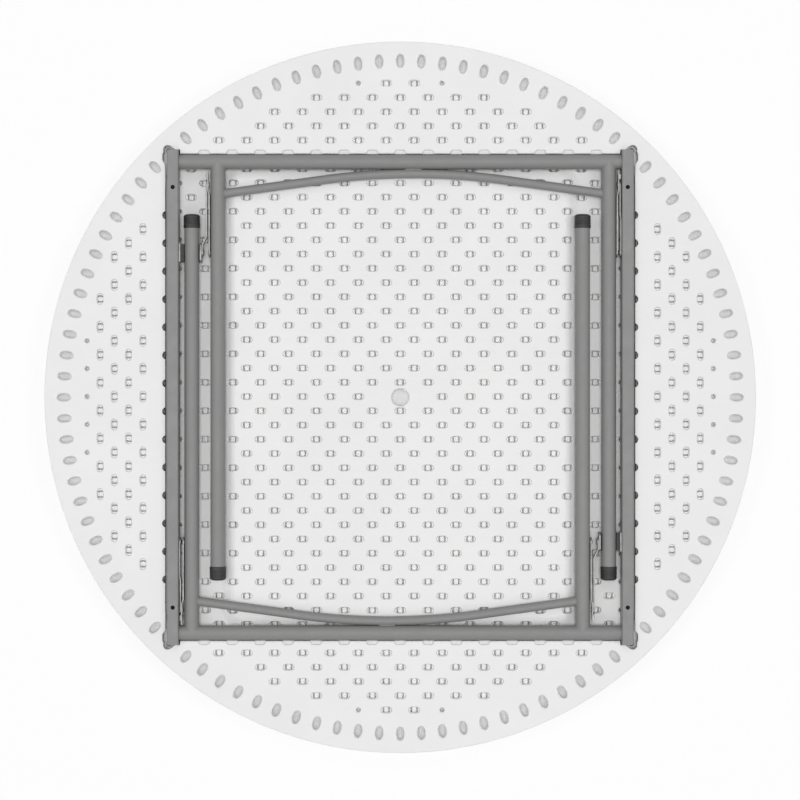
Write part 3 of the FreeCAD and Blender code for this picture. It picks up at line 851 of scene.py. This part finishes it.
def wall_outline(pairs, drop):
    """The recess wall's outline at a depth below the field."""
    outline = []
    for (x, y), (foot_x, foot_y) in pairs:
        share = drop / (FIELD_Z - FLOOR_Z)
        if foot_y == END_FOOT_Y:
            share = end_wall_share(drop, y > END_FOOT_Y + END_EDGE)
        outline.append((x + (foot_x - x) * share, y + (foot_y - y) * share))
    return mirrored(outline)


def mirrored(outline):
    """A whole anticlockwise outline from the points in its first quarter."""
    back = outline[::-1]
    whole = list(outline)
    whole += [(-x, y) for x, y in back]
    whole += [(-x, -y) for x, y in outline]
    whole += [(x, -y) for x, y in back]
    return whole


def grown(outline, distance):
    """Moves each point of an anticlockwise outline outwards, square to its neighbours' line."""
    moved = []
    for i, (x, y) in enumerate(outline):
        before, after = Vector(outline[i - 1]), Vector(outline[(i + 1) % len(outline)])
        along = (after - before).normalized()
        moved.append((x + along.y * distance, y - along.x * distance))
    return moved


def rim_profile(radius):
    """(radius, height) from the underside's edge down the side and round to the top face."""
    side = radius - SIDE_DRAW
    profile = []
    steps = 4
    for step in range(steps + 1):
        turn = math.pi / 2 * (1 - step / steps)
        out = side - FIELD_EDGE_ROUND * (1 - math.cos(turn))
        profile.append((out, FIELD_Z - FIELD_EDGE_ROUND * (1 - math.sin(turn))))
    half = PARTING_WIDTH / 2
    profile += [(side, PARTING_Z + half), (radius, PARTING_Z + half / 3)]
    profile += [(radius, PARTING_Z - half / 3), (side, PARTING_Z - half)]
    steps = 8
    for step in range(steps + 1):
        turn = math.pi / 2 * step / steps
        out = side - TOP_EDGE_ROUND * (1 - math.cos(turn))
        profile.append((out, TOP_EDGE_ROUND * (1 - math.sin(turn))))
    return profile


def circle(radius, steps=RIM_STEPS):
    turns = [2 * math.pi * i / steps for i in range(steps)]
    return [(radius * math.cos(t), radius * math.sin(t)) for t in turns]


def ridge(shell, side):
    """The moulded ridge inside a rail; its outer side leans in like the rail's."""
    rings = []
    levels = [(FLOOR_Z - RIDGE_SUNK, 0), (RIDGE_TOP_Z - RIDGE_CHAMFER, 0)]
    for z, inset in levels + [(RIDGE_TOP_Z, RIDGE_CHAMFER)]:
        share = (z - FLOOR_Z) / (RIDGE_TOP_Z - FLOOR_Z)
        outer = RIDGE_OUTER_LOW + (RIDGE_OUTER_HIGH - RIDGE_OUTER_LOW) * share
        half = (outer - RIDGE_INNER_X) / 2
        outline = rounded_rectangle(half - inset, RIDGE_HALF_LENGTH - inset, RIDGE_CORNER - inset)
        middle = side * (RIDGE_INNER_X + half)
        rings.append([(middle + x, y, z) for x, y in outline])
    shell.loft(rings, caps=(True, True))


def recess_walls(shell, pairs):
    """Adds the recess's walls. Returns their outlines in the field and on the recess floor."""
    edge = grown(wall_outline(pairs, 0), WALL_EDGE)
    floor_edge = grown(wall_outline(pairs, FIELD_Z - FLOOR_Z), -WALL_FOOT)
    walls = [at_height(edge, FIELD_Z)]
    for drop in WALL_DROPS:
        walls.append(at_height(wall_outline(pairs, drop), FIELD_Z - drop))
    walls.append(at_height(floor_edge, FLOOR_Z))
    shell.loft(walls)
    return edge, floor_edge


def moulded_top():
    """The whole moulding: rim and top face, recess walls, field, recess floor and ridges."""
    shell = Shell()
    low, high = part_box("tabletop")
    radius = min(high.x, high.y, -low.x, -low.y) / MM
    pockets = [rim_pocket(index) for index in range(POCKET_COUNT)]
    corner = min(pockets, key=lambda p: math.hypot(p.x - RECESS_X, p.y - RECESS_Y))
    from_corner = {p: math.hypot(abs(p.x) - corner.x, abs(p.y) - corner.y) for p in pockets}
    in_corner = [p for p in pockets if from_corner[p] < 1]
    profile = rim_profile(radius)
    rings = [at_height(circle(r), z) for r, z in profile]
    rings.append(at_height(circle(radius / 2), 0))
    shell.loft(rings, caps=(False, True))
    edge, floor_edge = recess_walls(shell, recess_quarter(corner))
    holes = [p for p in pockets if p not in in_corner] + field_dimples()
    surface(shell, [circle(profile[0][0]), edge], holes, [], field_height)
    for pocket in in_corner:
        pocket.outline = [pocket.inset(p, CORNER_POCKET_INSET) for p in pocket.outline]
        pocket.shoulder = CORNER_POCKET_SHOULDER
        pocket.pit = CORNER_POCKET_PIT
    holes = floor_dimples() + in_corner + [centre_mark()]
    surface(shell, [floor_edge], holes, panel_contours(), floor_height)
    for side in (-1, 1):
        ridge(shell, side)
    fitted(shell, "moulded_top", "white_plastic", "table", "tabletop")


# The folding frame


def rear(point):
    """The named places are the rear leg set's."""
    return Vector(point)


def front(point):
    """The front leg set is the rear one turned half round."""
    return Vector((-point[0], -point[1], point[2]))


LEG_SETS = {"rear": rear, "front": front}


def across(direction):
    """Two directions square to the given one and to each other."""
    along = Vector(direction).normalized()
    first = along.cross(Vector((0, 0, 1)) if abs(along.z) < 0.9 else Vector((1, 0, 0))).normalized()
    return first, along.cross(first)


def lathe(shell, profile, centre, direction, steps):
    """A solid of revolution from (distance along the direction, radius) points."""
    along = Vector(direction).normalized()
    first, second = across(direction)
    turns = [2 * math.pi * i / steps for i in range(steps)]
    rings = []
    for distance, radius in profile:
        middle = Vector(centre) + along * distance
        reach = max(radius, 0.01)
        rings.append([middle + (first * math.cos(t) + second * math.sin(t)) * reach for t in turns])
    shell.loft(rings, caps=(True, True))


def tube(shell, line, radii, steps, up):
    """A closed-ended tube along a line of points. up(point) gives each ring's first direction."""
    rings = []
    for index, point in enumerate(line):
        before = line[max(index - 1, 0)]
        after = line[min(index + 1, len(line) - 1)]
        along = (after - before).normalized()
        first = up(point)
        first = (first - along * first.dot(along)).normalized()
        second = along.cross(first)
        ring = []
        for step in range(steps):
            turn = 2 * math.pi * step / steps
            ring.append(point + (first * math.cos(turn) + second * math.sin(turn)) * radii[index])
        rings.append(ring)
    shell.loft(rings, caps=(True, True))


def dome(radius, height):
    """The profile of a rivet head: a short upright edge and a low dome over it."""
    profile = [(-HEAD_SUNK, radius * HEAD_FOOT_SHARE), (0, radius)]
    edge = min(HEAD_EDGE, height * HEAD_EDGE_SHARE)
    steps = 6
    for step in range(steps + 1):
        turn = math.pi / 2 * step / steps
        rise = edge + (height - edge) * math.sin(turn)
        profile.append((rise, radius * math.cos(turn) ** HEAD_FULLNESS))
    return profile


def foot_cap(set_name, place, leg_x):
    """The moulded cap over a leg's end: a rounded sole, gripping ribs and a rolled mouth."""
    radius = LEG_R + FOOT_WALL
    bore = LEG_R + FOOT_GAP
    profile = [(along, radius - inset) for along, inset in FOOT_SOLE]
    for rib in range(FOOT_RIBS):
        start = FOOT_FIRST_RIB + rib * FOOT_RIB_PITCH
        profile += [(start + along, radius - inset) for along, inset in FOOT_RIB]
    profile += [(FOOT_LENGTH - back, radius - inset) for back, inset in FOOT_MOUTH]
    profile += [(FOOT_LENGTH - FOOT_LEAD_IN, bore), (FOOT_BASE + FOOT_BASE_ROUND, bore)]
    profile.append((FOOT_BASE, LEG_R - FOOT_BASE_INSET))
    turned = LEG_SETS[set_name]
    sole = turned((leg_x, FOOT_SOLE_Y, LEG_Z))
    shell = Shell()
    lathe(shell, profile, sole, turned((0, 1, 0)), FOOT_STEPS)
    name = f"{set_name}_{place}_foot_cap"
    fitted(shell, name, "black_plastic", f"{set_name}_legs", f"{set_name}_feet")


def bow_line():
    """The stretcher's middle line: straight, a long arc up to the pivot tube, straight."""
    apex = LEG_R + STRETCHER_R + STRETCHER_GAP
    slope = math.radians(STRETCHER_SLOPE)
    half = LEG_SPACING / 2
    radius = (half * math.tan(slope) - STRETCHER_END + apex) / (
        math.sin(slope) * math.tan(slope) - 1 + math.cos(slope)
    )
    steps = 24
    points = [(-half, STRETCHER_END)]
    for step in range(steps + 1):
        turn = slope * (2 * step / steps - 1)
        points.append((radius * math.sin(turn), apex + radius * (1 - math.cos(turn))))
    points.append((half, STRETCHER_END))
    middle = (INNER_LEG_X + OUTER_LEG_X) / 2
    return [(middle + u, PIVOT_Y - v, LEG_Z) for u, v in points]


def stretcher(set_name):
    """The bowed tube between the legs, its ends sunk in them."""
    turned = LEG_SETS[set_name]
    line = [turned(p) for p in bow_line()]
    for end, inner in ((0, 1), (-1, -2)):
        along = (line[inner] - line[end]).normalized()
        line[end] = line[end] + along * (LEG_R - STRETCHER_SUNK)
    shell = Shell()
    tube(shell, line, [STRETCHER_R] * len(line), TUBE_STEPS, lambda p: Vector((0, 0, 1)))
    fitted(shell, f"{set_name}_bow", "grey_enamel", f"{set_name}_legs", f"{set_name}_stretcher")


def weld(shell, line, away, radius):
    """A bead along a line of points, with the ripples of its passes and thinner ends."""
    radii = []
    reach = 0.0
    for index, point in enumerate(line):
        if index:
            reach += (point - line[index - 1]).length
        share = min(max(index / (len(line) - 1), WELD_END_SHARE), 1 - WELD_END_SHARE)
        ends = math.sin(math.pi * share) ** 0.25
        ripple = WELD_RIPPLE_SHARE * math.sin(2 * math.pi * reach / WELD_RIPPLE)
        radii.append(radius * ends * (1 + ripple))
    tube(shell, line, radii, WELD_STEPS, away)


def leg_weld(shell, turned, leg_x):
    """The bead where a leg is coped to the pivot tube, sunk where their tops are level."""
    steps = 96
    line = []
    for step in range(steps + 1):
        turn = 2 * math.pi * step / steps + math.pi / 2
        y = PIVOT_Y - LEG_R * abs(math.cos(turn)) - LEG_WELD_LIFT
        rise = (LEG_R - LEG_WELD_SINK * math.sin(turn) ** 4) * math.sin(turn)
        line.append(turned((leg_x + LEG_R * math.cos(turn), y, LEG_Z + rise)))
    middle = turned((leg_x, PIVOT_Y - LEG_R, LEG_Z))
    weld(shell, line, lambda p: p - middle, LEG_WELD_R)


def stretcher_weld(shell, turned, leg_x, side):
    """The bead round a stretcher's end; side points from the leg to the stretcher."""
    steps = 48
    line = []
    for step in range(steps + 1):
        turn = 2 * math.pi * step / steps - math.pi / 2
        rise = STRETCHER_R * math.sin(turn)
        x = leg_x + side * (math.sqrt(LEG_R**2 - rise**2) + STRETCHER_WELD_LIFT)
        y = PIVOT_Y - STRETCHER_END + STRETCHER_R * math.cos(turn) + STRETCHER_WELD_SHIFT
        line.append(turned((x, y, LEG_Z + rise)))
    middle = turned((leg_x, PIVOT_Y - STRETCHER_END, LEG_Z))
    weld(shell, line, lambda p: p - middle, STRETCHER_WELD_R)


def tack_weld(shell, turned):
    """The bead in the groove between the stretcher's middle and the pivot tube, on each face."""
    middle_x = (INNER_LEG_X + OUTER_LEG_X) / 2
    along = range(-TACK_HALF_LENGTH, TACK_HALF_LENGTH + 1)
    for rise in (TACK_RISE, -TACK_RISE):
        y = PIVOT_Y - LEG_R - TACK_LIFT
        line = [turned((middle_x + u, y, LEG_Z + rise)) for u in along]
        weld(shell, line, lambda p: Vector((0, 0, 1)), TACK_WELD_R)


def welds(set_name):
    turned = LEG_SETS[set_name]
    shell = Shell()
    for leg_x, side in ((INNER_LEG_X, 1), (OUTER_LEG_X, -1)):
        leg_weld(shell, turned, leg_x)
        stretcher_weld(shell, turned, leg_x, side)
    tack_weld(shell, turned)
    fitted(shell, f"{set_name}_welds", "grey_enamel", f"{set_name}_legs")


def brace_rivets(set_name, place, leg_x, side, plate_off):
    """Heads on both ends of a brace and on its elbow. The side points from the leg to them."""
    turned = LEG_SETS[set_name]
    brace = f"{set_name}_{place}"

    def head(name, body, reach, near, far, radius):
        shell = Shell()
        start = turned((leg_x + side * (LEG_R + near), PIVOT_Y - reach, LEG_Z))
        outward = turned((side * (1 if far > near else -1), 0, 0))
        lathe(shell, dome(radius, abs(far - near)), start, outward, RIVET_STEPS)
        fitted(shell, f"{brace}_{name}", "zinc_plate", body)

    sunk, height, anchor_r = ANCHOR_RIVET
    head("leg_rivet", f"{set_name}_legs", BRACE_REACH, *LEG_RIVET)
    head("anchor_rivet", "table", BRACE_REACH, plate_off - sunk, plate_off - height, anchor_r)
    head("elbow_rivet", f"{brace}_leg_half", ELBOW_REACH, *ELBOW_RIVET)
    head("elbow_clinch", f"{brace}_anchor_half", ELBOW_REACH, *ELBOW_CLINCH)


def ear_tail(set_name):
    """The clinched end of the inner brace's pin, on the far side of the bracket's ear."""
    turned = LEG_SETS[set_name]
    shell = Shell()
    start = turned((EAR_FAR_X, PIVOT_Y - BRACE_REACH, LEG_Z))
    profile = dome(EAR_CLINCH_R, EAR_CLINCH_HEIGHT)
    lathe(shell, profile, start, turned((-1, 0, 0)), RIVET_STEPS)
    fitted(shell, f"{set_name}_ear_clinch", "zinc_plate", "table")


def rail_screw(name, x, y):
    """A flat screw head, level with the rail's face, with a shallow cross. Its near-black colour is
    partly painted shade of a screw hole.
    """
    shell = Shell()
    rings = []
    outline = circle(SCREW_R, SCREW_STEPS)
    for share, z in SCREW_HEAD:
        rings.append([(x + u * share, y + v * share, RAIL_TOP_Z + z) for u, v in outline])
    for share, z in SCREW_CROSS:
        ring = []
        for u, v in outline:
            turn = math.atan2(v, u)
            arm = abs(math.cos(2 * turn)) ** 1.5
            reach = SCREW_R * share * (CROSS_WAIST + (1 - CROSS_WAIST) * arm)
            ring.append((x + reach * math.cos(turn), y + reach * math.sin(turn), RAIL_TOP_Z + z))
        rings.append(ring)
    shell.loft(rings, caps=(True, True))
    # The head's near-black colour is partly painted shade, the dark of a screw hole on a head that
    # sits flush
    fitted(shell, name, "black_plastic", "table", look="black_steel_hole_shade")


def dress_nodes():
    """Gives each CAD node that stays its slot's material, smooth curves and softened edges."""
    slots = {part["node"]: part["material_slot"] for part in frame["record"]["subparts"]}
    for name, node in frame["nodes"].items():
        node.data.materials.clear()
        node.data.materials.append(materials[slots[name]])
        bm = bmesh.new()
        bm.from_mesh(node.data)
        for face in bm.faces:
            face.smooth = True
        for edge in bm.edges:
            edge.smooth = math.degrees(edge.calc_face_angle(0)) < NODE_SMOOTH_ANGLE
        bm.to_mesh(node.data)
        bm.free()
        if name.endswith(("rail", "bracket", "clip", "link")):
            bevel = node.modifiers.new("soft_edges", "BEVEL")
            bevel.width = NODE_BEVEL * MM
            bevel.segments = 2
            bevel.limit_method = "ANGLE"
            bevel.angle_limit = math.radians(NODE_BEVEL_ANGLE)
            bevel.harden_normals = True


# Build the scene

materials = {
    "white_plastic": white_plastic(),
    "grey_enamel": grey_enamel(),
    "zinc_plate": zinc_plate(),
    "black_plastic": black_plastic(),
    # near-black screw steel, partly painted shade of the screw holes
    "black_steel_hole_shade": black_steel_hole_shade(),
}

scene = bpy.context.scene
scene.view_settings.view_transform = "Standard"
point_camera()
light_room()
add_lamp("lamp_overhead", TOP_LAMP_SHARE, 0, 0)
add_lamp("lamp_left", SIDE_LAMP_SHARE, -1, 0)
add_lamp("lamp_right", SIDE_LAMP_SHARE, 1, 0)
add_lamp("lamp_front", END_LAMP_SHARE, 0, -1)
add_lamp("lamp_rear", END_LAMP_SHARE, 0, 1)
lay_floor()
moulded_top()
dress_nodes()
for set_name in LEG_SETS:
    inner_place, outer_place = ("left", "right") if set_name == "rear" else ("right", "left")
    stretcher(set_name)
    welds(set_name)
    foot_cap(set_name, inner_place, INNER_LEG_X)
    foot_cap(set_name, outer_place, OUTER_LEG_X)
    brace_rivets(set_name, inner_place, INNER_LEG_X, -1, INNER_PLATE_OFF)
    brace_rivets(set_name, outer_place, OUTER_LEG_X, 1, OUTER_PLATE_OFF)
    ear_tail(set_name)
for end, y in (("rear", SCREW_Y), ("front", -SCREW_Y)):
    rail_screw(f"{end}_left_rail_screw", -SCREW_X, y)
    rail_screw(f"{end}_right_rail_screw", SCREW_X, y)
